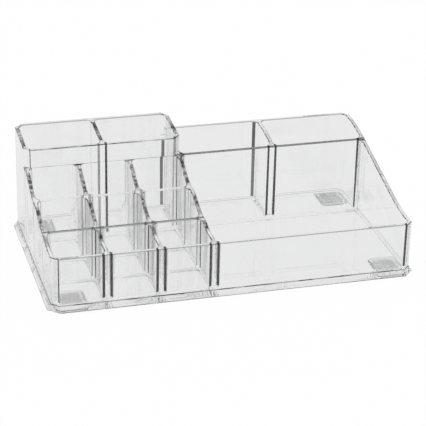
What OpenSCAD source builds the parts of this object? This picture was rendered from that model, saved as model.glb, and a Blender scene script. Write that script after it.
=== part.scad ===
/* [Base] */
// Width of the flared foot, side to side
base_w = 240; // [215:1:280]
// Depth of the flared foot, front to back
base_d = 138; // [125:1:165]
// How far the flared foot stands out beyond the walls
foot_lip = 2.7; // [2.2:0.1:4]
// Height of the flared foot
foot_h = 4.1; // [3:0.1:6]
// Height of the upright land under the flare
foot_land = 0.6; // [0.2:0.1:1.2]
// Cut across each corner of the foot
foot_corner = 7; // [5:0.5:7.5]
// Thickness of the floor under the pockets
floor_t = 3.4; // [2.6:0.1:5]

/* [Walls] */
// Thickness of every wall
wall_t = 2.6; // [2:0.1:3.2]
// Cut across each upright corner of the outer walls
wall_corner = 4.4; // [3.5:0.1:5]
// Radius of the upright corners of the pockets
pocket_r = 3.8; // [2.8:0.1:5]
// Radius where the pocket walls meet the floor
floor_r = 2.2; // [1:0.1:2.4]

/* [Layout] */
// Width from wall to wall of a small cell, centre to centre
cell_pitch = 34; // [28:0.5:38]
// Depth of the rear pockets, centre to centre of their walls
rear_pitch = 36; // [30:0.5:42]
// Number of small cells across the left block
cell_columns = 3; // [2:1:3]
// Number of tall pockets across the rear of the left block
tall_columns = 2; // [1:1:3]
// Width of the right block's inner rear pocket, centre to centre
inner_rear_pitch = 65.6; // [50:0.5:80]

/* [Left block] */
// Height of the tall pockets' rim at the back
tall_back_h = 72.7; // [66:0.1:90]
// Height of the tall pockets' rim at their front wall
tall_front_h = 68.8; // [60:0.1:80]
// Height of the ledge where the small cells meet the tall pockets
ledge_h = 56.5; // [50:0.1:59]
// Width of that ledge
ledge_w = 0.5; // [0.4:0.1:0.8]
// Height of the rim at the wall behind the second row of cells
third_wall_h = 46.8; // [45:0.1:49]
// Height of the rim at the wall behind the front row of cells
second_wall_h = 39; // [38.5:0.1:44]

/* [Right block] */
// Height of the right block's rim at the back
right_back_h = 61.8; // [55:0.1:65]
// Radius of the crown where the right rim leaves the back
crown_r = 137; // [110:1:170]
// Radius of the hollow where the right rim reaches the front
hollow_r = 98; // [80:1:120]
// Level stretch of the right rim at the front
front_level = 6.6; // [5.5:0.1:8]

/* [Front] */
// Height of the front rim of both blocks
front_h = 35.7; // [32:0.1:38]
// Length of the last dip behind the front rim of the small cells
front_dip = 15; // [12:0.5:20]

/* [Pads] */
// Width of a pad
pad_w = 19.5; // [15:0.5:22]
// Length of a pad
pad_d = 23.5; // [19:0.5:28]
// Thickness of a pad
pad_t = 2.4; // [2:0.1:4]
// Corner radius of a pad
pad_r = 4; // [4:0.1:6]
// How far a pad's underside draws in at each side
pad_taper = 2.2; // [1:0.1:2.4]
// Bevel round a pad's lower edge
pad_bevel = 0.5; // [0.3:0.1:0.8]
// Depth of the seat that a pad is stuck into
seat_depth = 0.6; // [0.3:0.1:1]
// Gap left round a pad in its seat
seat_gap = 0.3; // [0.2:0.1:0.6]
// Inset of a pad from the side of the foot
pad_inset_x = 6.2; // [5:0.1:10]
// Inset of a pad from the front or back of the foot
pad_inset_y = 2.2; // [1.8:0.1:6]

/* [Hidden] */
$fn = 64;

// Overrun of every cut beyond the face that it opens
overrun = 1;
// Steps along each arc of a rim
arc_steps = 8;

// Underside of the moulding above the surface that it stands on
base_z = pad_t - seat_depth;
// Outer faces of the walls
wall_x = base_w / 2 - foot_lip;
wall_y = base_d / 2 - foot_lip;
half_t = wall_t / 2;

// Centre planes of the walls
left_x = -wall_x + half_t;
right_x = wall_x - half_t;
centre_x = left_x + cell_columns * cell_pitch;
front_y = -wall_y + half_t;
back_y = wall_y - half_t;
mid_y = back_y - rear_pitch;
// Highest rim round each row of small cells, from the front row back
row_rims = [second_wall_h, third_wall_h, ledge_h];
cell_rows = len(row_rims);
row_pitch = (mid_y - front_y) / cell_rows;
divider_x = centre_x + inner_rear_pitch;
// Front face of the tall pockets above the ledge
tall_y = mid_y - half_t + ledge_w;
// Centre planes of the walls behind the front row and the second row of cells
second_y = front_y + row_pitch;
third_y = mid_y - row_pitch;

// Side outlines are drawn with the depth along X and the height along Y, from the back to the front

// Points along an arc about the centre c, without its first point
function turned(c, r, from, to) = [for (i = [1 : arc_steps])
    let (a = from + (to - from) * i / arc_steps) [c[0] + r * cos(a), c[1] + r * sin(a)]];

// Points down a fall from h0 at y0 to h1 at y1, in two equal tangent arcs
function fall(y0, h0, y1, h1) =
    let (run = y0 - y1, drop = h0 - h1)
    let (r = (run * run + drop * drop) / (4 * drop), turn = 2 * atan(drop / run))
    concat(turned([y0, h0 - r], r, 90, 90 + turn), turned([y1, h1 + r], r, turn - 90, -90));

// Everything under the waved rim of the small cells
module under_left_rim() {
    polygon(concat([[wall_y, 0], [wall_y, ledge_h], [mid_y - half_t, ledge_h]],
        fall(mid_y - half_t, ledge_h, third_y - half_t, third_wall_h),
        fall(third_y - half_t, third_wall_h, second_y - half_t, second_wall_h),
        fall(second_y - half_t, second_wall_h, second_y - half_t - front_dip, front_h),
        [[-wall_y, front_h], [-wall_y, 0]]));
}

// Everything under the long S of the right block's rim: a crown, a straight slope and a hollow
module under_right_rim() {
    hollow_y = -wall_y + front_level;
    run = wall_y - hollow_y;
    drop = right_back_h - front_h;
    radii = crown_r + hollow_r;
    slope = atan2(run, radii - drop) - acos(radii / sqrt(run * run + (radii - drop) * (radii - drop)));
    polygon(concat([[wall_y, 0], [wall_y, right_back_h]],
        turned([wall_y, right_back_h - crown_r], crown_r, 90, 90 + slope),
        [[hollow_y + hollow_r * sin(slope), front_h + hollow_r * (1 - cos(slope))]],
        turned([hollow_y, front_h + hollow_r], hollow_r, slope - 90, -90),
        [[-wall_y, front_h], [-wall_y, 0]]));
}

// Everything under the sloping rim of the tall pockets
module under_tall_rim() {
    polygon([[tall_y, 0], [wall_y, 0], [wall_y, tall_back_h], [tall_y, tall_front_h]]);
}

// A side outline pulled across the part from x0 to x1
module across(x0, x1) {
    translate([x0, 0, 0]) rotate([90, 0, 90]) linear_extrude(height = x1 - x0) children();
}

// A rectangle with its four corners cut off
module cut_rectangle(x0, x1, y0, y1, c) {
    polygon([[x0 + c, y0], [x1 - c, y0], [x1, y0 + c], [x1, y1 - c],
        [x1 - c, y1], [x0 + c, y1], [x0, y1 - c], [x0, y0 + c]]);
}

// One leaning pair of faces of the foot, half_low wide at the land and half_high at the top
module foot_slab(half_low, half_high, length, angle) {
    rotate([0, 0, angle]) rotate([90, 0, 0]) linear_extrude(height = length, center = true)
        polygon([[-half_low, 0], [half_low, 0], [half_low, foot_land],
            [half_high, foot_h], [-half_high, foot_h], [-half_low, foot_land]]);
}

// The flared foot: four leaning pairs of faces cut each other at the mitres
module flared_foot() {
    diagonal_low = (base_w / 2 + base_d / 2 - foot_corner) * sin(45);
    diagonal_high = (wall_x + wall_y - wall_corner) * sin(45);
    intersection() {
        foot_slab(base_w / 2, wall_x, base_d, 0);
        foot_slab(base_d / 2, wall_y, base_w, 90);
        foot_slab(diagonal_low, diagonal_high, base_w + base_d, 45);
        foot_slab(diagonal_low, diagonal_high, base_w + base_d, -45);
    }
}

// The outer form of the walls, before the pockets are taken out
module wall_block() {
    intersection() {
        linear_extrude(height = tall_back_h) cut_rectangle(-wall_x, wall_x, -wall_y, wall_y, wall_corner);
        union() {
            across(-wall_x, centre_x + half_t) under_left_rim();
            across(centre_x + half_t, wall_x) under_right_rim();
        }
    }
    intersection() {
        linear_extrude(height = tall_back_h)
            cut_rectangle(-wall_x, centre_x + half_t, tall_y, wall_y, wall_corner);
        across(-wall_x, centre_x + half_t) under_tall_rim();
    }
}

// Side of a pocket with rounded lower edges
module pocket_side(half, h) {
    polygon([[floor_r - half, 0], [half - floor_r, 0], [half, floor_r],
        [half, h], [-half, h], [-half, floor_r]]);
    for (s = [-1, 1])
        translate([s * (half - floor_r), floor_r]) circle(r = floor_r);
}

// Side of a pad, which draws in by the taper towards its bevelled lower edges
module pad_side(half) {
    low = half - pad_taper;
    bevel_x = low + pad_taper * pad_bevel / pad_t;
    polygon([[pad_bevel - low, 0], [low - pad_bevel, 0], [bevel_x, pad_bevel],
        [half, pad_t], [-half, pad_t], [-bevel_x, pad_bevel]]);
}

// The four upright corners of a form with half sizes a and b, turned from the side of radius r
module turned_corners(a, b, r, h) {
    for (x = [-1, 1], y = [-1, 1])
        translate([x * (a - r), y * (b - r), 0]) rotate_extrude() intersection() {
            square([r, h]);
            children();
        }
}

// The space of one pocket between four wall centres, open above the height rim_h
module pocket(x0, x1, y0, y1, rim_h) {
    a = (x1 - x0) / 2 - half_t;
    b = (y1 - y0) / 2 - half_t;
    h = rim_h - floor_t + overrun;
    translate([(x0 + x1) / 2, (y0 + y1) / 2, floor_t]) {
        rotate([90, 0, 0]) linear_extrude(height = 2 * (b - pocket_r), center = true) pocket_side(a, h);
        rotate([90, 0, 90]) linear_extrude(height = 2 * (a - pocket_r), center = true) pocket_side(b, h);
        turned_corners(a, b, pocket_r, h) pocket_side(pocket_r, h);
    }
}

module all_pockets() {
    tall_pitch = (centre_x - left_x) / tall_columns;
    for (i = [0 : tall_columns - 1])
        pocket(left_x + i * tall_pitch, left_x + (i + 1) * tall_pitch, mid_y, back_y, tall_back_h);
    for (i = [0 : cell_columns - 1], j = [0 : cell_rows - 1])
        pocket(left_x + i * cell_pitch, left_x + (i + 1) * cell_pitch,
            front_y + j * row_pitch, front_y + (j + 1) * row_pitch, row_rims[j]);
    pocket(centre_x, divider_x, mid_y, back_y, right_back_h);
    pocket(divider_x, right_x, mid_y, back_y, right_back_h);
    pocket(centre_x, right_x, front_y, mid_y, right_back_h);
}

// Puts something at the place of one pad; sx and sy are -1 or 1
module at_pad(sx, sy) {
    translate([sx * (base_w / 2 - pad_inset_x - pad_w / 2), sy * (base_d / 2 - pad_inset_y - pad_d / 2), 0])
        children();
}

// A rectangle with round corners
module round_rectangle(w, d, r) {
    square([w - 2 * r, d], center = true);
    square([w, d - 2 * r], center = true);
    for (x = [-1, 1], y = [-1, 1])
        translate([x * (w / 2 - r), y * (d / 2 - r)]) circle(r = r);
}

module organizer_body() {
    color([0.86, 0.88, 0.9, 0.35]) translate([0, 0, base_z]) difference() {
        union() {
            flared_foot();
            wall_block();
        }
        all_pockets();
        for (sx = [-1, 1], sy = [-1, 1])
            at_pad(sx, sy) translate([0, 0, -overrun]) linear_extrude(height = seat_depth + overrun)
                round_rectangle(pad_w + 2 * seat_gap, pad_d + 2 * seat_gap, pad_r + seat_gap);
    }
}

module foot_pad(sx, sy) {
    a = pad_w / 2;
    b = pad_d / 2;
    color([0.62, 0.63, 0.65, 0.9]) at_pad(sx, sy) {
        rotate([90, 0, 0]) linear_extrude(height = 2 * (b - pad_r), center = true) pad_side(a);
        rotate([90, 0, 90]) linear_extrude(height = 2 * (a - pad_r), center = true) pad_side(b);
        turned_corners(a, b, pad_r, pad_t) pad_side(pad_r);
    }
}

module foot_front_left() {
    foot_pad(-1, -1);
}

module foot_front_right() {
    foot_pad(1, -1);
}

module foot_back_left() {
    foot_pad(-1, 1);
}

module foot_back_right() {
    foot_pad(1, 1);
}

organizer_body();
foot_front_left();
foot_front_right();
foot_back_left();
foot_back_right();
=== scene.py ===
import math

import bmesh
import bpy
from bpy.props import FloatProperty, FloatVectorProperty, IntProperty, PointerProperty
from mathutils import Matrix, Vector
from mathutils.bvhtree import BVHTree


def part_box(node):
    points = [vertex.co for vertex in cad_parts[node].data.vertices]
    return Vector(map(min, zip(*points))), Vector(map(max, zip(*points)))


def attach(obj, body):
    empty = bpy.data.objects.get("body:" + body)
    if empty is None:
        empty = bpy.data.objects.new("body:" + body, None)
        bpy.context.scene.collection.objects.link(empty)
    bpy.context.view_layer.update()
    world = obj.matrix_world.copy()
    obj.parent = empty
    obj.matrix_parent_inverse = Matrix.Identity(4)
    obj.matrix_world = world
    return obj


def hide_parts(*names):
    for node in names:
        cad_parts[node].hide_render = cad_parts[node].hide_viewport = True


bl_info = {
    "name": "Vanity organizer",
    "version": (1, 0, 0),
    "blender": (4, 5, 0),
    "location": "View3D > Sidebar > Organizer",
    "description": "Dresses the clear vanity organizer and its four pads, and sets up its studio",
    "category": "Object",
}

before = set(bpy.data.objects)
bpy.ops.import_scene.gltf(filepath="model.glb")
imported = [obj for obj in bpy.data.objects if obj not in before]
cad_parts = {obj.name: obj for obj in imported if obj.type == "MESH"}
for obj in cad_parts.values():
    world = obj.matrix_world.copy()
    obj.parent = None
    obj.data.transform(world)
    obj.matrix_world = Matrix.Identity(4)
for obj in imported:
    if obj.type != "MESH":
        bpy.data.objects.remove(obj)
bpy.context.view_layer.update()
BODY_NODE = "organizer_body"
PAD_NODES = ("foot_front_left", "foot_front_right", "foot_back_left", "foot_back_right")

# Material slots of the moulding, and of a pad.
# All of the moulding's slots but WALL carry painted shade, a near-black share in the clear plastic.
(
    WALL,
    RIM,
    WAVE_RIM,
    DARK_RIM,
    FAINT_RIM,
    CORNER,
    SOFT_CORNER,
    BACK_CORNER,
    CELL_CORNER,
    STEP,
    FOOT_EDGE,
    DIVIDER,
) = range(12)
PAD_BODY, PAD_GLUE = range(2)

# Places on the moulding, in metres, with left and right as seen from the front.
FOOT_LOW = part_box(BODY_NODE)[0][2]
FOOT_TOP = FOOT_LOW + 0.0041  # where the walls stand on the flared foot
SEAT_TOP = FOOT_LOW + 0.0006  # of the pads' seats
FOOT_INNER_X, FOOT_INNER_Y = 0.1168, 0.0658  # the flare lies outside these
FOOT_INNER_CORNER = 0.178  # and, on a diagonal, where x and y together are more than this
END_X = 0.108  # the pockets' corners at both ends lie outside it
CENTRE_X = -0.0135  # the wall between the small cells and the tray
TALL_MIDDLE_X = -0.05  # inside the right tall pocket
BACK_Y = 0.058  # just in front of the back wall
TALL_Y = 0.0285  # the tall pockets lie behind it
FRONT_Y = -0.06  # just behind the front wall
SECOND_Y = -0.03367  # middle of the wall behind the front cells
THIRD_Y = -0.00233  # middle of the wall behind the middle cells
MIDDLE_Y = 0.029  # middle of the wall behind the tray
WALL_HALF = 0.0021  # a wall's top lies within this of its middle
STRIP_HALF = 0.0014  # half the width of a wall top in painted shade
LOW_RIM, TALL_RIM = 0.03, 0.07  # every wall's top is above the first, the tall pockets' the second
TALL_SIDES = (0.034, 0.0597)  # run of the tall pockets' side walls
LEDGE_X, LEDGE_Y, LEDGE_TOP = (-0.11, 0.0), 0.0279, 0.0583  # the ledge before the tall pockets
LEDGE_NEAR_Y, LEDGE_NEAR_Z = 0.002, 0.0005  # how near to it the middle of its facet is

# Directions of facets, as parts of their normals, and as turns round the upright axis.
UPRIGHT = 0.1  # an upright facet has less than this along Z
LEVEL = 0.9  # a level facet has more than this along Z
TURNED = 0.1  # from here on, a facet counts as turned towards an axis
LEAST_TOP = 0.6  # a wall's sloping top has more than this along Z
FACES_SIDE = 0.99  # a facet of a divider has more than this along X
SIDE_RIM = 0.3  # a rim that runs from front to back has more than this along X
FRONT_FOLD = 0.5  # the foot's front line has more than this along Y
WAVE_SLOPE = (0.25, 0.97)  # the steep stretches of the waved tops, along Z
ROUNDED_TURNS = (math.radians(2), math.radians(88))  # anything else is a flat wall

# Edges to round: the least turn of the surface at each, and the foot's shortest.
RIM_TURN = math.radians(50)
FOOT_TURN = math.radians(12)
PAD_TURN = math.radians(25)
FOOT_EDGE_LENGTH = 0.002
CIRCLE_PROFILE = 0.5

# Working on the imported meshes.
WELD = 2e-6  # points this close are one
FLAT_ANGLE = math.radians(0.3)  # facets that meet at less than this are one flat face
ON_PLANE = 1e-7  # points this close to a cut lie on it
SAME_HEIGHT = 1e-6  # points this close in height belong to the same level face
CUT_ROOM = 0.0002  # room for a facet's points beside the height it was cut at
UP = Vector((0.0, 0.0, 1.0))
BACKWARD = Vector((0.0, 1.0, 0.0))

# Sockets of a Mix node set to colours, which shares its socket names with other kinds of value.
MIX_SHARE, MIX_LOW, MIX_HIGH, MIX_COLOUR = 0, 6, 7, 2

PAINTED_SHADE_COLOUR = (0.015, 0.016, 0.017, 1.0)  # painted shade: the near-black mixed into the clear plastic along its rims, corners and foot
SENSOR_WIDTH = 36.0  # in millimetres
FLOOR_DROP = 0.0001  # keeps the floor clear of the pads' undersides
BACKDROP_LOW = -0.01  # closes the joint with the floor
BACKDROP_STEPS = 64


class MouldingSettings(bpy.types.PropertyGroup):
    """Sizes, finish and painted shade of the clear moulding."""

    rim_round: FloatProperty(
        name="Rim rounding",
        description="Radius along the top edges of the walls",
        default=0.00055,
        unit="LENGTH",
    )
    rim_steps: IntProperty(
        name="Rim steps",
        description="Facets across each rounded wall top edge",
        default=3,
    )
    foot_round: FloatProperty(
        name="Foot rounding",
        description="Radius along the edges of the flared foot",
        default=0.0004,
        unit="LENGTH",
    )
    foot_steps: IntProperty(
        name="Foot steps",
        description="Facets across each rounded edge of the flared foot",
        default=2,
    )
    # The bands below pick the corner facets that are painted with shade.
    left_corner_band: FloatVectorProperty(
        name="Left corner band",
        description="Turns between which a pocket's left front corner holds light back",
        default=(math.radians(32), math.radians(64)),
        size=2,
        unit="ROTATION",
    )
    right_corner_band: FloatVectorProperty(
        name="Right corner band",
        description="Turns between which a pocket's right front corner holds light back",
        default=(math.radians(24), math.radians(64)),
        size=2,
        unit="ROTATION",
    )
    left_end_band: FloatVectorProperty(
        name="Left end band",
        description="Turns between which the front corners at the left end hold light back",
        default=(math.radians(25), math.radians(33)),
        size=2,
        unit="ROTATION",
    )
    right_end_band: FloatVectorProperty(
        name="Right end band",
        description="Turns between which the front corners at the right end hold light back",
        default=(math.radians(14), math.radians(52)),
        size=2,
        unit="ROTATION",
    )
    back_band: FloatVectorProperty(
        name="Back corner band",
        description="Turns between which a large pocket's back corner holds light back",
        default=(math.radians(16), math.radians(50)),
        size=2,
        unit="ROTATION",
    )
    cell_band: FloatVectorProperty(
        name="Cell corner band",
        description="Turns between which a front cell's back corner holds light back",
        default=(math.radians(49), math.radians(66)),
        size=2,
        unit="ROTATION",
    )
    # Each shade below, down to the foot edge shade, is painted shade: the share of the surface that
    # is made near-black.
    corner_dark: FloatProperty(
        name="Corner shade",
        description="Share of light lost inside the pockets' front corners",
        default=0.95,
        subtype="FACTOR",
    )
    soft_corner_dark: FloatProperty(
        name="Soft corner shade",
        description="Share of light lost inside the less dark corners and at the pads' seats",
        default=0.6,
        subtype="FACTOR",
    )
    back_dark: FloatProperty(
        name="Back corner shade",
        description="Share of light lost in the large pockets' back corners",
        default=0.85,
        subtype="FACTOR",
    )
    cell_dark: FloatProperty(
        name="Cell corner shade",
        description="Share of light lost in the back corners of the front cells",
        default=0.72,
        subtype="FACTOR",
    )
    rim_dark: FloatProperty(
        name="Rim shade",
        description="Most light that the plain rims hold back",
        default=0.85,
        subtype="FACTOR",
    )
    wave_dark: FloatProperty(
        name="Wave rim shade",
        description="Most light that the rims of the side walls and dividers hold back",
        default=0.82,
        subtype="FACTOR",
    )
    faint_dark: FloatProperty(
        name="Faint rim shade",
        description="Share of light lost along the fainter rims and the foot's side and back lines",
        default=0.4,
        subtype="FACTOR",
    )
    step_dark: FloatProperty(
        name="Step shade",
        description="Most light that the narrow ledge and the foot's front line hold back",
        default=0.95,
        subtype="FACTOR",
    )
    inner_dark: FloatProperty(
        name="Inner rim shade",
        description="Share of light lost on top of the walls behind the front cells and the tray",
        default=0.7,
        subtype="FACTOR",
    )
    divider_dark: FloatProperty(
        name="Divider shade",
        description="Most light that the streaks on the cell dividers hold back",
        default=0.34,
        subtype="FACTOR",
    )
    foot_dark: FloatProperty(
        name="Foot edge shade",
        description="Share of light lost along the edges of the flared foot",
        default=0.4,
        subtype="FACTOR",
    )
    rim_lumps: FloatProperty(
        name="Rim unevenness",
        description="Depth of the small sink marks along the rims",
        default=0.0006,
        unit="LENGTH",
    )
    # The two heights below bound painted shade: in the right tall pocket's back corner, and along
    # the line at the foot.
    tall_corner_top: FloatProperty(
        name="Tall corner shade top",
        description="Height up to which the right tall pocket's back corner holds light back",
        default=0.0555,
        unit="LENGTH",
    )
    fold_line: FloatProperty(
        name="Foot line",
        description="Height of the dark line where the walls run into the flared foot",
        default=0.0005,
        unit="LENGTH",
    )
    tint: FloatVectorProperty(
        name="Tint",
        description="Colour of light that has passed through one wall face",
        default=(0.992, 0.993, 0.994, 1.0),
        size=4,
        subtype="COLOR",
    )
    smeared: FloatProperty(
        name="Smeared tint",
        description="Share of the tint that is left where the plastic was handled",
        default=0.985,
        subtype="FACTOR",
    )
    depth_tint: FloatVectorProperty(
        name="Depth tint",
        description="Colour that thick plastic takes, seen along a wall",
        default=(0.6, 0.61, 0.62, 1.0),
        size=4,
        subtype="COLOR",
    )
    depth_density: FloatProperty(
        name="Depth density",
        description="How fast light is lost inside the plastic, per metre",
        default=0.6,
    )
    refraction: FloatProperty(
        name="Refraction",
        description="Index of refraction of clear polystyrene",
        default=1.59,
    )
    haze: FloatProperty(
        name="Haze",
        description="Roughness of the polished faces",
        default=0.0,
        subtype="FACTOR",
    )
    scuff: FloatProperty(
        name="Scuff",
        description="Roughness where handling has left its marks",
        default=0.008,
        subtype="FACTOR",
    )


class PadSettings(bpy.types.PropertyGroup):
    """Sizes and finish of the soft pads."""

    colour: FloatVectorProperty(
        name="Pad colour",
        description="Colour of the soft cloudy pads",
        default=(0.97, 0.975, 0.98, 1.0),
        size=4,
        subtype="COLOR",
    )
    glue_colour: FloatVectorProperty(
        name="Glue colour",
        description="Colour of the glued patch on top of each pad",
        default=(0.95, 0.955, 0.96, 1.0),
        size=4,
        subtype="COLOR",
    )
    cloudy: FloatProperty(
        name="Cloud shade",
        description="Share of the colour that is left in the darkest grain",
        default=0.93,
        subtype="FACTOR",
    )
    clearness: FloatProperty(
        name="Pad clearness",
        description="Share of light that passes through a pad",
        default=0.95,
        subtype="FACTOR",
    )
    glue_clearness: FloatProperty(
        name="Glue clearness",
        description="Share of light that passes through the glued patch",
        default=0.45,
        subtype="FACTOR",
    )
    refraction: FloatProperty(
        name="Refraction",
        description="Index of refraction of silicone",
        default=1.41,
    )
    roughness: FloatProperty(
        name="Pad roughness",
        description="Roughness of the pads where they are clean",
        default=0.25,
        subtype="FACTOR",
    )
    worn_roughness: FloatProperty(
        name="Worn roughness",
        description="Roughness of the pads where they are worn",
        default=0.4,
        subtype="FACTOR",
    )
    glue_inset: FloatProperty(
        name="Glue inset",
        description="Distance from a pad's edge to its glued patch",
        default=0.0028,
        unit="LENGTH",
    )
    glue_sunk: FloatProperty(
        name="Glue depth",
        description="How far the glued patch lies below the pad's top",
        default=0.00012,
        unit="LENGTH",
    )
    edge_round: FloatProperty(
        name="Pad rounding",
        description="Radius along the pad's edges",
        default=0.00035,
        unit="LENGTH",
    )
    edge_steps: IntProperty(
        name="Pad steps",
        description="Facets across each rounded edge of a pad",
        default=3,
    )
    seat_gap: FloatProperty(
        name="Seat gap",
        description="Air between a pad's top and its seat",
        default=0.00006,
        unit="LENGTH",
    )


class StudioSettings(bpy.types.PropertyGroup):
    """Camera, floor, backdrop, lamp and room light."""

    camera_place: FloatVectorProperty(
        name="Camera place",
        description="Where the camera stands",
        default=(-0.2743306, -0.9640754, 0.4885839),
        size=3,
        subtype="TRANSLATION",
    )
    camera_aim: FloatVectorProperty(
        name="Camera aim",
        description="Point on the camera's axis",
        default=(0.0036, 0.009, 0.0229),
        size=3,
        subtype="TRANSLATION",
    )
    camera_roll: FloatProperty(
        name="Camera roll",
        description="Tilt of the picture's horizon",
        default=math.radians(1.33),
        subtype="ANGLE",
    )
    lens: FloatProperty(
        name="Lens",
        description="Focal length in millimetres on a 36 mm sensor",
        default=141.74,
    )
    camera_shift: FloatProperty(
        name="Camera shift",
        description="Sideways shift of the picture",
        default=0.005,
    )
    floor_size: FloatProperty(
        name="Floor size",
        description="Length of each side of the floor",
        default=8.0,
        unit="LENGTH",
    )
    floor_colour: FloatVectorProperty(
        name="Floor colour",
        description="Colour of the floor and backdrop",
        default=(0.86, 0.86, 0.86, 1.0),
        size=4,
        subtype="COLOR",
    )
    backdrop_radius: FloatProperty(
        name="Backdrop radius",
        description="Distance of the round backdrop",
        default=3.2,
        unit="LENGTH",
    )
    backdrop_height: FloatProperty(
        name="Backdrop height",
        description="Height of the round backdrop",
        default=1.1,
        unit="LENGTH",
    )
    white_in_glass: FloatProperty(
        name="White in glass",
        description="Brightness of the floor and backdrop where they are seen in the plastic",
        default=0.835,
    )
    white_share: FloatProperty(
        name="White share",
        description="Share of the floor's look that is plain white; the rest takes the shadow",
        default=0.98,
        subtype="FACTOR",
    )
    light_bounces: IntProperty(
        name="Light bounces",
        description="How often light may be bent or reflected on its way through the walls",
        default=64,
    )
    room: FloatProperty(
        name="Room light",
        description="Strength of the plain light from all round",
        default=0.82,
    )
    lamp_power: FloatProperty(
        name="Lamp power",
        description="Power of the large overhead lamp",
        default=6.0,
        unit="POWER",
    )
    lamp_size: FloatProperty(
        name="Lamp size",
        description="Length of each side of the overhead lamp",
        default=1.6,
        unit="LENGTH",
    )
    lamp_place: FloatVectorProperty(
        name="Lamp place",
        description="Where the overhead lamp hangs",
        default=(0.3, 0.2, 1.6),
        size=3,
        subtype="TRANSLATION",
    )


class OrganizerSettings(bpy.types.PropertyGroup):
    """All settings of the organizer's scene."""

    moulding: PointerProperty(type=MouldingSettings)
    pads: PointerProperty(type=PadSettings)
    studio: PointerProperty(type=StudioSettings)


def settings():
    return bpy.context.scene.vanity_organizer


def between(value, band):
    return band[0] < value < band[1]


# Nodes and materials


def new_material(name):
    material = bpy.data.materials.new(name)
    material.use_nodes = True
    material.node_tree.nodes.clear()
    return material, material.node_tree.nodes, material.node_tree.links


def new_group(name, inputs, outputs):
    """An empty shader group, with a default for each input."""
    group = bpy.data.node_groups.new(name, "ShaderNodeTree")
    for label, default in inputs.items():
        socket = group.interface.new_socket(
            name=label, in_out="INPUT", socket_type="NodeSocketFloat"
        )
        socket.default_value = default
    for label in outputs:
        group.interface.new_socket(name=label, in_out="OUTPUT", socket_type="NodeSocketFloat")
    return group, group.nodes, group.links


def set_inputs(node, values):
    for label, value in values.items():
        node.inputs[label].default_value = value
    return node


def new_node(nodes, kind, values):
    """A node with the given values on its named inputs."""
    return set_inputs(nodes.new(kind), values)


def group_node(nodes, name, make, values):
    """A node that shows the named group, which is made on its first use."""
    node = nodes.new("ShaderNodeGroup")
    node.node_tree = bpy.data.node_groups.get(name) or make()
    return set_inputs(node, values)


def math_result(nodes, links, operation, first, second):
    """What the operation makes of an output and a second output or number."""
    node = nodes.new("ShaderNodeMath")
    node.operation = operation
    links.new(first, node.inputs[0])
    if isinstance(second, float):
        node.inputs[1].default_value = second
    else:
        links.new(second, node.inputs[1])
    return node.outputs[0]


def mixed_colour(nodes, links, mask, low, high):
    """A colour that goes from low to high with the mask."""
    mix = nodes.new("ShaderNodeMix")
    mix.data_type = "RGBA"
    mix.inputs[MIX_LOW].default_value = low
    mix.inputs[MIX_HIGH].default_value = high
    links.new(mask, mix.inputs[MIX_SHARE])
    return mix.outputs[MIX_COLOUR]


def mixed_shader(nodes, links, share, first, second):
    """A shader that goes from the first to the second with the share."""
    mix = nodes.new("ShaderNodeMixShader")
    links.new(share, mix.inputs["Fac"])
    links.new(first, mix.inputs[1])
    links.new(second, mix.inputs[2])
    return mix.outputs["Shader"]


def dimmed(colour, share):
    """The colour at a share of its brightness."""
    return [c * share for c in colour[:3]] + [1.0]


def ripple(nodes, links, shader, marks, strength, distance):
    """Lets the height of the marks disturb the shader's surface a little."""
    bump = new_node(nodes, "ShaderNodeBump", {"Strength": strength, "Distance": distance})
    links.new(marks.outputs["Height"], bump.inputs["Height"])
    links.new(bump.outputs["Normal"], shader.inputs["Normal"])


def handling_marks():
    """Shader group: faint smears and fine scratches, as a roughness, a height and a mask."""
    group, nodes, links = new_group(
        "handling_marks",
        {"Scale": 1.0, "Polished": 0.01, "Worn": 0.05},
        ("Roughness", "Height", "Mask"),
    )
    given = nodes.new("NodeGroupInput")
    out = nodes.new("NodeGroupOutput")
    place = nodes.new("ShaderNodeTexCoord")
    sized = nodes.new("ShaderNodeVectorMath")
    sized.operation = "SCALE"
    links.new(place.outputs["Object"], sized.inputs[0])
    links.new(given.outputs["Scale"], sized.inputs["Scale"])
    smears = new_node(
        nodes, "ShaderNodeTexNoise", {"Scale": 38.0, "Detail": 5.0, "Roughness": 0.62}
    )
    links.new(sized.outputs["Vector"], smears.inputs["Vector"])
    stretched = new_node(
        nodes,
        "ShaderNodeMapping",
        {"Rotation": (0.3, 0.2, 0.5), "Scale": (26.0, 620.0, 620.0)},
    )
    links.new(sized.outputs["Vector"], stretched.inputs["Vector"])
    scratches = new_node(nodes, "ShaderNodeTexNoise", {"Scale": 1.0, "Detail": 2.0})
    links.new(stretched.outputs["Vector"], scratches.inputs["Vector"])
    smear_mask = new_node(nodes, "ShaderNodeMapRange", {"From Min": 0.46, "From Max": 0.72})
    links.new(smears.outputs["Fac"], smear_mask.inputs["Value"])
    scratch_mask = new_node(
        nodes, "ShaderNodeMapRange", {"From Min": 0.66, "From Max": 0.74, "To Max": 0.6}
    )
    links.new(scratches.outputs["Fac"], scratch_mask.inputs["Value"])
    mask = math_result(
        nodes, links, "MAXIMUM", smear_mask.outputs["Result"], scratch_mask.outputs["Result"]
    )
    rough = nodes.new("ShaderNodeMapRange")
    links.new(mask, rough.inputs["Value"])
    links.new(given.outputs["Polished"], rough.inputs["To Min"])
    links.new(given.outputs["Worn"], rough.inputs["To Max"])
    links.new(rough.outputs["Result"], out.inputs["Roughness"])
    links.new(smears.outputs["Fac"], out.inputs["Height"])
    links.new(mask, out.inputs["Mask"])
    return group


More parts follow.
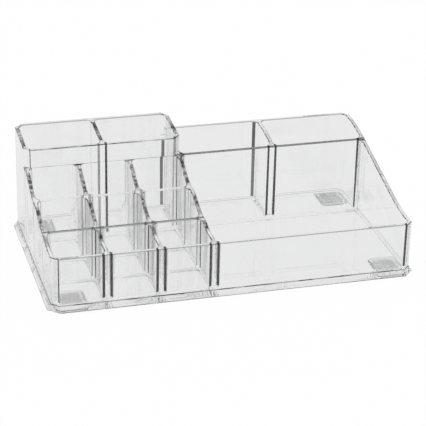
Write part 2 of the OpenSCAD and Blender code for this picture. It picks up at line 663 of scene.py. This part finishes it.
def sink_marks():
    """Shader group: the small, soft sink marks along moulded rims, as a height."""
    group, nodes, links = new_group("sink_marks", {"Scale": 330.0}, ("Height",))
    given = nodes.new("NodeGroupInput")
    out = nodes.new("NodeGroupOutput")
    place = nodes.new("ShaderNodeTexCoord")
    lumps = new_node(nodes, "ShaderNodeTexNoise", {"Detail": 1.0})
    links.new(place.outputs["Object"], lumps.inputs["Vector"])
    links.new(given.outputs["Scale"], lumps.inputs["Scale"])
    links.new(lumps.outputs["Fac"], out.inputs["Height"])
    return group


def silicone_grain():
    """Shader group: the fine, cloudy grain of silicone, as a mask and a height."""
    group, nodes, links = new_group("silicone_grain", {"Scale": 900.0}, ("Mask", "Height"))
    given = nodes.new("NodeGroupInput")
    out = nodes.new("NodeGroupOutput")
    place = nodes.new("ShaderNodeTexCoord")
    grain = new_node(nodes, "ShaderNodeTexNoise", {"Detail": 3.0, "Roughness": 0.7})
    level = new_node(nodes, "ShaderNodeMapRange", {"From Min": 0.35, "From Max": 0.65})
    links.new(place.outputs["Object"], grain.inputs["Vector"])
    links.new(given.outputs["Scale"], grain.inputs["Scale"])
    links.new(grain.outputs["Fac"], level.inputs["Value"])
    links.new(level.outputs["Result"], out.inputs["Mask"])
    links.new(grain.outputs["Fac"], out.inputs["Height"])
    return group


def share_between(nodes, links, value, dark, start, full, least):
    """The share of painted shade: its least part where the value is at start, all of it at full."""
    level = new_node(
        nodes,
        "ShaderNodeMapRange",
        {"From Min": start, "From Max": full, "To Min": dark * least, "To Max": dark},
    )
    links.new(value, level.inputs["Value"])
    return level.outputs["Result"]


def soft_patches(nodes, links, dark):
    """The share of painted shade, in long soft patches, for the plain rims."""
    place = nodes.new("ShaderNodeTexCoord")
    noise = new_node(nodes, "ShaderNodeTexNoise", {"Scale": 75.0, "Detail": 3.0})
    links.new(place.outputs["Object"], noise.inputs["Vector"])
    return share_between(
        nodes, links, noise.outputs["Fac"], dark, start=0.38, full=0.62, least=0.25
    )


def dark_dots(nodes, links, dark):
    """The share of painted shade, in short dots, for the waved rims."""
    place = nodes.new("ShaderNodeTexCoord")
    cells = new_node(nodes, "ShaderNodeTexVoronoi", {"Scale": 330.0})
    links.new(place.outputs["Object"], cells.inputs["Vector"])
    return share_between(
        nodes, links, cells.outputs["Distance"], dark, start=0.62, full=0.4, least=0.2
    )


def upright_streaks(nodes, links, dark):
    """The share of painted shade, in thin upright streaks, for the dividers between the small
    cells.
    """
    place = nodes.new("ShaderNodeTexCoord")
    stretched = new_node(nodes, "ShaderNodeMapping", {"Scale": (0.0, 420.0, 16.0)})
    links.new(place.outputs["Object"], stretched.inputs["Vector"])
    noise = new_node(nodes, "ShaderNodeTexNoise", {"Scale": 1.0})
    links.new(stretched.outputs["Vector"], noise.inputs["Vector"])
    return share_between(
        nodes, links, noise.outputs["Fac"], dark, start=0.47, full=0.66, least=0.05
    )


def broken_line(nodes, links, dark):
    """The share of painted shade, in strokes of uneven length, for the ledge and the foot's front
    line.
    """
    place = nodes.new("ShaderNodeTexCoord")
    strokes = new_node(
        nodes,
        "ShaderNodeTexWave",
        {"Scale": 11.0, "Distortion": 9.0, "Detail": 3.0, "Detail Scale": 2.0},
    )
    links.new(place.outputs["Object"], strokes.inputs["Vector"])
    return share_between(
        nodes, links, strokes.outputs["Fac"], dark, start=0.2, full=0.7, least=0.5
    )


def direct_share(nodes, links, dark, from_inside):
    """The share of painted shade, left out where a polished face shows the facet again."""
    path = nodes.new("ShaderNodeLightPath")
    direct = new_node(nodes, "ShaderNodeMapRange", {"To Min": dark, "To Max": 0.0})
    links.new(path.outputs["Glossy Depth"], direct.inputs["Value"])
    if not from_inside:
        return direct.outputs["Result"]
    face = nodes.new("ShaderNodeNewGeometry")
    return math_result(
        nodes, links, "MULTIPLY", direct.outputs["Result"], face.outputs["Backfacing"]
    )


def clear_plastic(name, s, dark=0.0, from_inside=False, uneven=None, lumps=0.0):
    """Clear polystyrene. Where dark is above 0, that share of the surface is painted shade, a
    near-black diffuse.
    """
    material, nodes, links = new_material(name)
    out = nodes.new("ShaderNodeOutputMaterial")
    shader = new_node(
        nodes, "ShaderNodeBsdfPrincipled", {"IOR": s.refraction, "Transmission Weight": 1.0}
    )
    marks = group_node(
        nodes,
        "handling_marks",
        handling_marks,
        {"Scale": 1.0, "Polished": s.haze, "Worn": s.scuff},
    )
    links.new(marks.outputs["Roughness"], shader.inputs["Roughness"])
    colour = mixed_colour(nodes, links, marks.outputs["Mask"], s.tint, dimmed(s.tint, s.smeared))
    links.new(colour, shader.inputs["Base Color"])
    if lumps > 0:
        sinks = group_node(nodes, "sink_marks", sink_marks, {"Scale": 330.0})
        ripple(nodes, links, shader, sinks, strength=1.0, distance=lumps)
    else:
        ripple(nodes, links, shader, marks, strength=0.06, distance=0.0002)
    body = new_node(
        nodes,
        "ShaderNodeVolumeAbsorption",
        {"Color": s.depth_tint, "Density": s.depth_density},
    )
    links.new(body.outputs["Volume"], out.inputs["Volume"])
    surface = shader.outputs["BSDF"]
    if dark > 0:
        if uneven:
            share = uneven(nodes, links, dark)
        else:
            share = direct_share(nodes, links, dark, from_inside)
        # Painted shade: a near-black diffuse mixed into the plastic by the dark share.
        lost = new_node(nodes, "ShaderNodeBsdfDiffuse", {"Color": PAINTED_SHADE_COLOUR})
        surface = mixed_shader(nodes, links, share, surface, lost.outputs["BSDF"])
    links.new(surface, out.inputs["Surface"])
    return material


def pad_silicone(name, s, colour, clearness):
    """Soft, cloudy silicone with a fine grain, which lets part of the light through."""
    material, nodes, links = new_material(name)
    out = nodes.new("ShaderNodeOutputMaterial")
    shader = new_node(
        nodes, "ShaderNodeBsdfPrincipled", {"IOR": s.refraction, "Transmission Weight": clearness}
    )
    marks = group_node(
        nodes,
        "handling_marks",
        handling_marks,
        {"Scale": 3.0, "Polished": s.roughness, "Worn": s.worn_roughness},
    )
    links.new(marks.outputs["Roughness"], shader.inputs["Roughness"])
    grain = group_node(nodes, "silicone_grain", silicone_grain, {"Scale": 900.0})
    clouds = mixed_colour(nodes, links, grain.outputs["Mask"], dimmed(colour, s.cloudy), colour)
    links.new(clouds, shader.inputs["Base Color"])
    ripple(nodes, links, shader, grain, strength=0.35, distance=0.0002)
    links.new(shader.outputs["BSDF"], out.inputs["Surface"])
    return material


def studio_surface(name, s):
    """White where it is seen, directly or in glass, and shaded a little by what stands on it."""
    material, nodes, links = new_material(name)
    out = nodes.new("ShaderNodeOutputMaterial")
    plain = new_node(nodes, "ShaderNodeBsdfDiffuse", {"Color": s.floor_colour})
    white = nodes.new("ShaderNodeEmission")
    strength = new_node(
        nodes, "ShaderNodeMapRange", {"To Min": 1.0, "To Max": s.white_in_glass}
    )
    path = nodes.new("ShaderNodeLightPath")
    in_glass = math_result(
        nodes,
        links,
        "MAXIMUM",
        path.outputs["Is Glossy Ray"],
        path.outputs["Is Transmission Ray"],
    )
    links.new(in_glass, strength.inputs["Value"])
    links.new(strength.outputs["Result"], white.inputs["Strength"])
    seen = math_result(nodes, links, "MAXIMUM", path.outputs["Is Camera Ray"], in_glass)
    share = math_result(nodes, links, "MULTIPLY", seen, s.white_share)
    surface = mixed_shader(nodes, links, share, plain.outputs["BSDF"], white.outputs["Emission"])
    links.new(surface, out.inputs["Surface"])
    return material


# Meshes


def add_object(name, data, finishes=()):
    thing = bpy.data.objects.new(name, data)
    bpy.context.scene.collection.objects.link(thing)
    for finish in finishes:
        data.materials.append(finish)
    return thing


def by_slot(finishes):
    """The finishes in the order of their material slots."""
    return [finishes[slot] for slot in sorted(finishes)]


def welded(node):
    """The node's facets joined into one closed mesh, with flat faces in one piece."""
    bm = bmesh.new()
    bm.from_mesh(node.data)
    bmesh.ops.remove_doubles(bm, verts=bm.verts, dist=WELD)
    bmesh.ops.dissolve_limit(
        bm, angle_limit=FLAT_ANGLE, verts=bm.verts, edges=bm.edges, delimit=set()
    )
    bm.normal_update()
    return bm


def finished_mesh(bm, name):
    mesh = bpy.data.meshes.new(name)
    bm.to_mesh(mesh)
    bm.free()
    return mesh


def round_edges(bm, edges, radius, steps, clamp):
    """Rounds the edges and gives back the new facets."""
    made = bmesh.ops.bevel(
        bm,
        geom=edges,
        offset=radius,
        offset_type="OFFSET",
        affect="EDGES",
        segments=steps,
        profile=CIRCLE_PROFILE,
        clamp_overlap=clamp,
    )
    return set(made["faces"])


def cut(bm, axis, place, keep):
    """Cuts the chosen faces along the plane across the axis at the place."""
    parts = {}
    for face in filter(keep, bm.faces):
        parts.update(dict.fromkeys((face, *face.edges, *face.verts)))
    bmesh.ops.bisect_plane(
        bm, geom=list(parts), dist=ON_PLANE, plane_co=axis * place, plane_no=axis
    )


def outward_turn(edge):
    """Angle by which the surface turns outwards at the edge, or 0 where it doesn't."""
    if len(edge.link_faces) != 2 or not edge.is_convex:
        return 0.0
    return edge.calc_face_angle(0.0)


def is_clear(tree, point, direction, room):
    """Whether nothing lies in the room in front of the point."""
    return tree.ray_cast(point, direction, room)[0] is None


def rim_edges(bm, s):
    """Top edges of the walls that have room for their rounding on both sides."""
    tree = BVHTree.FromBMesh(bm)
    # Each side is tried by a ray that starts a little off the surface, just past the edge.
    off, past = s.rim_round * 0.4, s.rim_round * 0.1
    down, across = s.rim_round * 2.5, s.rim_round * 2.8
    found = []
    for edge in bm.edges:
        if outward_turn(edge) < RIM_TURN:
            continue
        top, side = sorted(edge.link_faces, key=lambda f: -f.normal.z)
        if top.normal.z < LEAST_TOP or abs(side.normal.z) > UPRIGHT:
            continue
        middle = (edge.verts[0].co + edge.verts[1].co) / 2
        beside = middle + side.normal * off - UP * past
        above = middle + top.normal * off + side.normal * past
        if is_clear(tree, beside, -UP, down) and is_clear(tree, above, -side.normal, across):
            found.append(edge)
    return found


def is_on_flare(point):
    """Whether the point lies on the flared foot, outside the walls."""
    return abs(point.x) > FOOT_INNER_X or abs(point.y) > FOOT_INNER_Y


def foot_edges(bm, s):
    """Outer edges of the flared foot."""
    heights = (FOOT_LOW - s.foot_round, FOOT_TOP + s.foot_round)
    return [
        edge
        for edge in bm.edges
        if outward_turn(edge) >= FOOT_TURN
        and edge.calc_length() > FOOT_EDGE_LENGTH
        and all(between(v.co.z, heights) and is_on_flare(v.co) for v in edge.verts)
    ]


def highest(face):
    return max(v.co.z for v in face.verts)


def is_tall_back_corner(face):
    """Whether the face is part of the right tall pocket's right back corner."""
    n, c = face.normal, face.calc_center_median()
    turned = abs(n.z) < UPRIGHT and n.x < -TURNED and n.y < -TURNED
    return turned and c.y > TALL_Y and between(c.x, (TALL_MIDDLE_X, CENTRE_X))


def is_wall_top(face):
    return face.normal.z > LEVEL and face.calc_center_median().z > LOW_RIM


def is_tall_top(face):
    return face.normal.z > LEVEL and face.calc_center_median().z > TALL_RIM


def is_high_right_top(face):
    """Whether the face is part of a right wall's top that reaches above the ledge."""
    right = face.calc_center_median().x > CENTRE_X
    return right and face.normal.z > LEVEL and highest(face) > LEDGE_TOP


def is_wave_slope(face):
    """Whether the face is part of a steep stretch of a waved wall top."""
    n, c = face.normal, face.calc_center_median()
    sloping = abs(n.x) < TURNED and between(n.z, WAVE_SLOPE)
    return sloping and c.z > LOW_RIM and c.x < CENTRE_X + WALL_HALF


def is_foot_slope(face):
    """Whether the face is part of the flared foot's leaning sides."""
    c = face.calc_center_median()
    outside = is_on_flare(c) or abs(c.x) + abs(c.y) > FOOT_INNER_CORNER
    leaning = between(face.normal.z, (UPRIGHT, LEVEL))
    return outside and leaning and highest(face) < FOOT_TOP + CUT_ROOM


def is_fold_line(face, s):
    """Whether the face is part of the narrow strip where the walls run into the flared foot."""
    lowest = min(v.co.z for v in face.verts)
    return is_foot_slope(face) and lowest > FOOT_TOP - s.fold_line - CUT_ROOM


def dark_wall_y(point):
    """Middle of the wall with a top in painted shade: behind the front cells, or behind the tray.
    """
    return SECOND_Y if point.x < CENTRE_X else MIDDLE_Y


def rim_kind(face):
    """Material slot of a facet along a rounded rim."""
    n, c = face.normal, face.calc_center_median()
    if abs(n.x) > SIDE_RIM:
        return WAVE_RIM
    if c.x < CENTRE_X and abs(c.y - THIRD_Y) < WALL_HALF:
        return WALL
    inside_back = c.y > BACK_Y and n.y < 0
    if c.y < FRONT_Y or inside_back or abs(c.y - dark_wall_y(c)) < WALL_HALF:
        return FAINT_RIM
    return RIM


def level_kind(face):
    """Material slot of a level facet: the ledge, a tall side wall's top, or a wall top in painted
    shade.
    """
    c = face.calc_center_median()
    near_ledge = abs(c.y - LEDGE_Y) < LEDGE_NEAR_Y and abs(c.z - LEDGE_TOP) < LEDGE_NEAR_Z
    if near_ledge and between(c.x, LEDGE_X):
        return STEP
    if c.z > TALL_RIM and between(c.y, TALL_SIDES):
        return RIM
    wall_y = dark_wall_y(c)
    if c.z > LOW_RIM and all(abs(v.co.y - wall_y) < WALL_HALF for v in face.verts):
        return DARK_RIM
    return WALL


def front_corner_kind(face, turn, s):
    """Material slot of a facet in a pocket's front corner."""
    c = face.calc_center_median()
    left = face.normal.x > 0
    if abs(c.x) > END_X:
        band = s.left_end_band if c.x < 0 else s.right_end_band
        return CORNER if between(turn, band) else WALL
    if not between(turn, s.left_corner_band if left else s.right_corner_band):
        return WALL
    if c.x > CENTRE_X or c.y < FRONT_Y or left and c.y > TALL_Y:
        return CORNER
    return SOFT_CORNER


def back_corner_kind(face, turn, s):
    """Material slot of a facet in a pocket's back corner. Only right corners get painted shade."""
    c = face.calc_center_median()
    if face.normal.x > 0 or abs(c.x) > END_X:
        return WALL
    if c.x < CENTRE_X and c.y < TALL_Y:
        return CELL_CORNER if c.y < SECOND_Y and between(turn, s.cell_band) else WALL
    above = highest(face) > s.tall_corner_top + CUT_ROOM
    if c.x < CENTRE_X and (c.x < TALL_MIDDLE_X or above):
        return WALL
    return BACK_CORNER if between(turn, s.back_band) else WALL


def side_kind(face, s):
    """Material slot of a facet on a side of a wall, of the foot or of a pad's seat."""
    n, c = face.normal, face.calc_center_median()
    if abs(n.z) < UPRIGHT and c.z < SEAT_TOP:
        return FOOT_EDGE if is_on_flare(c) else SOFT_CORNER
    among_cells = between(c.x, (-END_X, CENTRE_X)) and (c.y < TALL_Y or c.x > TALL_MIDDLE_X)
    if n.x < -FACES_SIDE and among_cells:
        return DIVIDER
    turn = math.atan2(abs(n.x), abs(n.y))
    outside_back = c.y > BACK_Y and n.y > 0
    if abs(n.z) > UPRIGHT or not between(turn, ROUNDED_TURNS) or outside_back:
        return WALL
    if n.y > 0:
        return front_corner_kind(face, turn, s)
    return back_corner_kind(face, turn, s)


def facet_kind(face, s):
    """Material slot of a facet that is in none of the roundings."""
    if is_wave_slope(face):
        return WAVE_RIM
    if is_fold_line(face, s):
        return STEP if face.normal.y < -FRONT_FOLD else FAINT_RIM
    return level_kind(face) if face.normal.z > LEVEL else side_kind(face, s)


def round_moulding(node, s):
    """The moulding's mesh with its wall tops and foot rounded, and a finish on each facet, with
    painted shade on the rims, corners and foot.
    """
    bm = welded(node)
    cut(bm, UP, s.tall_corner_top, is_tall_back_corner)
    cut(bm, BACKWARD, MIDDLE_Y - WALL_HALF, is_high_right_top)
    for y in (SECOND_Y - STRIP_HALF, SECOND_Y + STRIP_HALF, MIDDLE_Y + STRIP_HALF):
        cut(bm, BACKWARD, y, is_wall_top)
    for y in TALL_SIDES:
        cut(bm, BACKWARD, y, is_tall_top)
    cut(bm, UP, FOOT_TOP - s.fold_line, is_foot_slope)
    rims = round_edges(bm, rim_edges(bm, s), s.rim_round, s.rim_steps, clamp=False)
    feet = round_edges(bm, foot_edges(bm, s), s.foot_round, s.foot_steps, clamp=True)
    bm.normal_update()
    for face in bm.faces:
        face.smooth = True
        if face in rims:
            face.material_index = rim_kind(face)
        elif face in feet:
            face.material_index = FOOT_EDGE
        else:
            face.material_index = facet_kind(face, s)
    return finished_mesh(bm, "moulding")


def pad_mesh(node, s):
    """A pad with rounded edges and a slightly sunk, glued patch on its top."""
    bm = welded(node)
    top = max(v.co.z for v in bm.verts)
    for v in bm.verts:
        if top - v.co.z < SAME_HEIGHT:
            v.co.z -= s.seat_gap
    sharp = [edge for edge in bm.edges if outward_turn(edge) > PAD_TURN]
    round_edges(bm, sharp, s.edge_round, s.edge_steps, clamp=True)
    bm.normal_update()
    patch = max(bm.faces, key=lambda f: f.calc_area() * f.normal.z)
    for thickness, depth in ((s.glue_inset, 0.0), (s.glue_sunk, -s.glue_sunk)):
        bmesh.ops.inset_individual(
            bm, faces=[patch], thickness=thickness, depth=depth, use_even_offset=True
        )
    for face in bm.faces:
        face.smooth = True
        face.material_index = PAD_GLUE if face == patch else PAD_BODY
    return finished_mesh(bm, node.name + "_pad")


# Studio


def aimed(place, aim):
    """Turn of a camera or lamp that stands at the place and looks at the aim."""
    return (Vector(aim) - Vector(place)).to_track_quat("-Z", "Y")


def make_camera(s):
    data = bpy.data.cameras.new("studio_camera")
    data.lens = s.lens
    data.sensor_width = SENSOR_WIDTH
    data.shift_x = s.camera_shift
    camera = add_object("studio_camera", data)
    look = aimed(s.camera_place, s.camera_aim).to_matrix()
    rolled = look @ Matrix.Rotation(s.camera_roll, 3, "Z")
    camera.matrix_world = Matrix.Translation(s.camera_place) @ rolled.to_4x4()
    return camera


def make_floor(s, surface):
    half = s.floor_size / 2
    corners = [(-half, -half, 0), (half, -half, 0), (half, half, 0), (-half, half, 0)]
    mesh = bpy.data.meshes.new("floor")
    mesh.from_pydata(corners, [], [(0, 1, 2, 3)])
    floor = add_object("floor", mesh, [surface])
    floor.location.z = -FLOOR_DROP
    return floor


def make_backdrop(s, surface):
    ring, faces = [], []
    count = 2 * BACKDROP_STEPS
    for i in range(BACKDROP_STEPS):
        a = 2 * math.pi * i / BACKDROP_STEPS
        x, y = s.backdrop_radius * math.cos(a), s.backdrop_radius * math.sin(a)
        ring += [(x, y, BACKDROP_LOW), (x, y, s.backdrop_height)]
        faces.append((2 * i, 2 * i + 1, (2 * i + 3) % count, (2 * i + 2) % count))
    mesh = bpy.data.meshes.new("backdrop")
    mesh.from_pydata(ring, [], faces)
    return add_object("backdrop", mesh, [surface])


def make_lamp(s):
    """A large soft lamp that doesn't show in the plastic itself."""
    data = bpy.data.lights.new("overhead_lamp", "AREA")
    data.shape = "SQUARE"
    data.size = s.lamp_size
    data.energy = s.lamp_power
    lamp = add_object("overhead_lamp", data)
    lamp.visible_glossy = False
    lamp.visible_transmission = False
    lamp.location = s.lamp_place
    lamp.rotation_euler = aimed(s.lamp_place, (0, 0, 0)).to_euler()


def make_room(s):
    world = bpy.data.worlds.new("room")
    world.use_nodes = True
    back = world.node_tree.nodes["Background"]
    back.inputs["Color"].default_value = (1.0, 1.0, 1.0, 1.0)
    back.inputs["Strength"].default_value = s.room
    return world


class VANITY_OT_stage(bpy.types.Operator):
    """Make the camera, floor, backdrop, lamp and room light"""

    bl_idname = "vanity.stage"
    bl_label = "Studio"

    def execute(self, context):
        s = settings().studio
        scene = context.scene
        scene.camera = make_camera(s)
        surface = studio_surface("studio_paper", s)
        make_floor(s, surface)
        make_backdrop(s, surface)
        make_lamp(s)
        scene.world = make_room(s)
        scene.view_settings.view_transform = "Standard"
        scene.cycles.max_bounces = s.light_bounces
        scene.cycles.transmission_bounces = s.light_bounces
        scene.cycles.glossy_bounces = s.light_bounces
        return {"FINISHED"}


class VANITY_OT_moulding(bpy.types.Operator):
    """Make the clear moulding with rounded wall tops"""

    bl_idname = "vanity.moulding"
    bl_label = "Clear moulding"

    def execute(self, context):
        s = settings().moulding
        # Each finish but clear_wall mixes painted shade into the plastic, a near-black share along
        # rims, corners, the ledge and the foot.
        finishes = {
            WALL: clear_plastic("clear_wall", s),
            RIM: clear_plastic(
                "clear_rim", s, s.rim_dark, uneven=soft_patches, lumps=s.rim_lumps
            ),
            WAVE_RIM: clear_plastic(
                "clear_wave_rim", s, s.wave_dark, uneven=dark_dots, lumps=s.rim_lumps
            ),
            DARK_RIM: clear_plastic("clear_dark_rim", s, s.inner_dark),
            FAINT_RIM: clear_plastic("clear_faint_rim", s, s.faint_dark),
            CORNER: clear_plastic("clear_front_corner", s, s.corner_dark, from_inside=True),
            SOFT_CORNER: clear_plastic(
                "clear_soft_corner", s, s.soft_corner_dark, from_inside=True
            ),
            BACK_CORNER: clear_plastic("clear_back_corner", s, s.back_dark),
            CELL_CORNER: clear_plastic("clear_cell_corner", s, s.cell_dark),
            STEP: clear_plastic("clear_step", s, s.step_dark, uneven=broken_line),
            FOOT_EDGE: clear_plastic("clear_foot_edge", s, s.foot_dark),
            DIVIDER: clear_plastic("clear_divider", s, s.divider_dark, uneven=upright_streaks),
        }
        mesh = round_moulding(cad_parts[BODY_NODE], s)
        piece = add_object("clear_moulding", mesh, by_slot(finishes))
        weigh = piece.modifiers.new("even_shading", "WEIGHTED_NORMAL")
        weigh.keep_sharp = True
        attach(piece, "root")
        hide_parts(BODY_NODE)
        return {"FINISHED"}


class VANITY_OT_pads(bpy.types.Operator):
    """Make the four soft pads with their glued patches"""

    bl_idname = "vanity.pads"
    bl_label = "Pads"

    def execute(self, context):
        s = settings().pads
        finishes = {
            PAD_BODY: pad_silicone("pad_silicone", s, s.colour, s.clearness),
            PAD_GLUE: pad_silicone("pad_glue", s, s.glue_colour, s.glue_clearness),
        }
        for name in PAD_NODES:
            mesh = pad_mesh(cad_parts[name], s)
            piece = add_object(name.replace("foot", "pad"), mesh, by_slot(finishes))
            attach(piece, "root")
            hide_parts(name)
        return {"FINISHED"}


class VANITY_PT_organizer(bpy.types.Panel):
    """Lists the organizer's pieces"""

    bl_idname = "VANITY_PT_organizer"
    bl_label = "Vanity organizer"
    bl_space_type = "VIEW_3D"
    bl_region_type = "UI"
    bl_category = "Organizer"

    def draw(self, context):
        for operator in OPERATORS:
            self.layout.operator(operator.bl_idname)


OPERATORS = (VANITY_OT_stage, VANITY_OT_moulding, VANITY_OT_pads)
CLASSES = (
    MouldingSettings,
    PadSettings,
    StudioSettings,
    OrganizerSettings,
    *OPERATORS,
    VANITY_PT_organizer,
)


def register():
    for cls in CLASSES:
        bpy.utils.register_class(cls)
    bpy.types.Scene.vanity_organizer = PointerProperty(type=OrganizerSettings)


def unregister():
    del bpy.types.Scene.vanity_organizer
    for cls in reversed(CLASSES):
        bpy.utils.unregister_class(cls)


def main():
    register()
    bpy.ops.vanity.stage()
    bpy.ops.vanity.moulding()
    bpy.ops.vanity.pads()


if __name__ == "__main__":
    main()
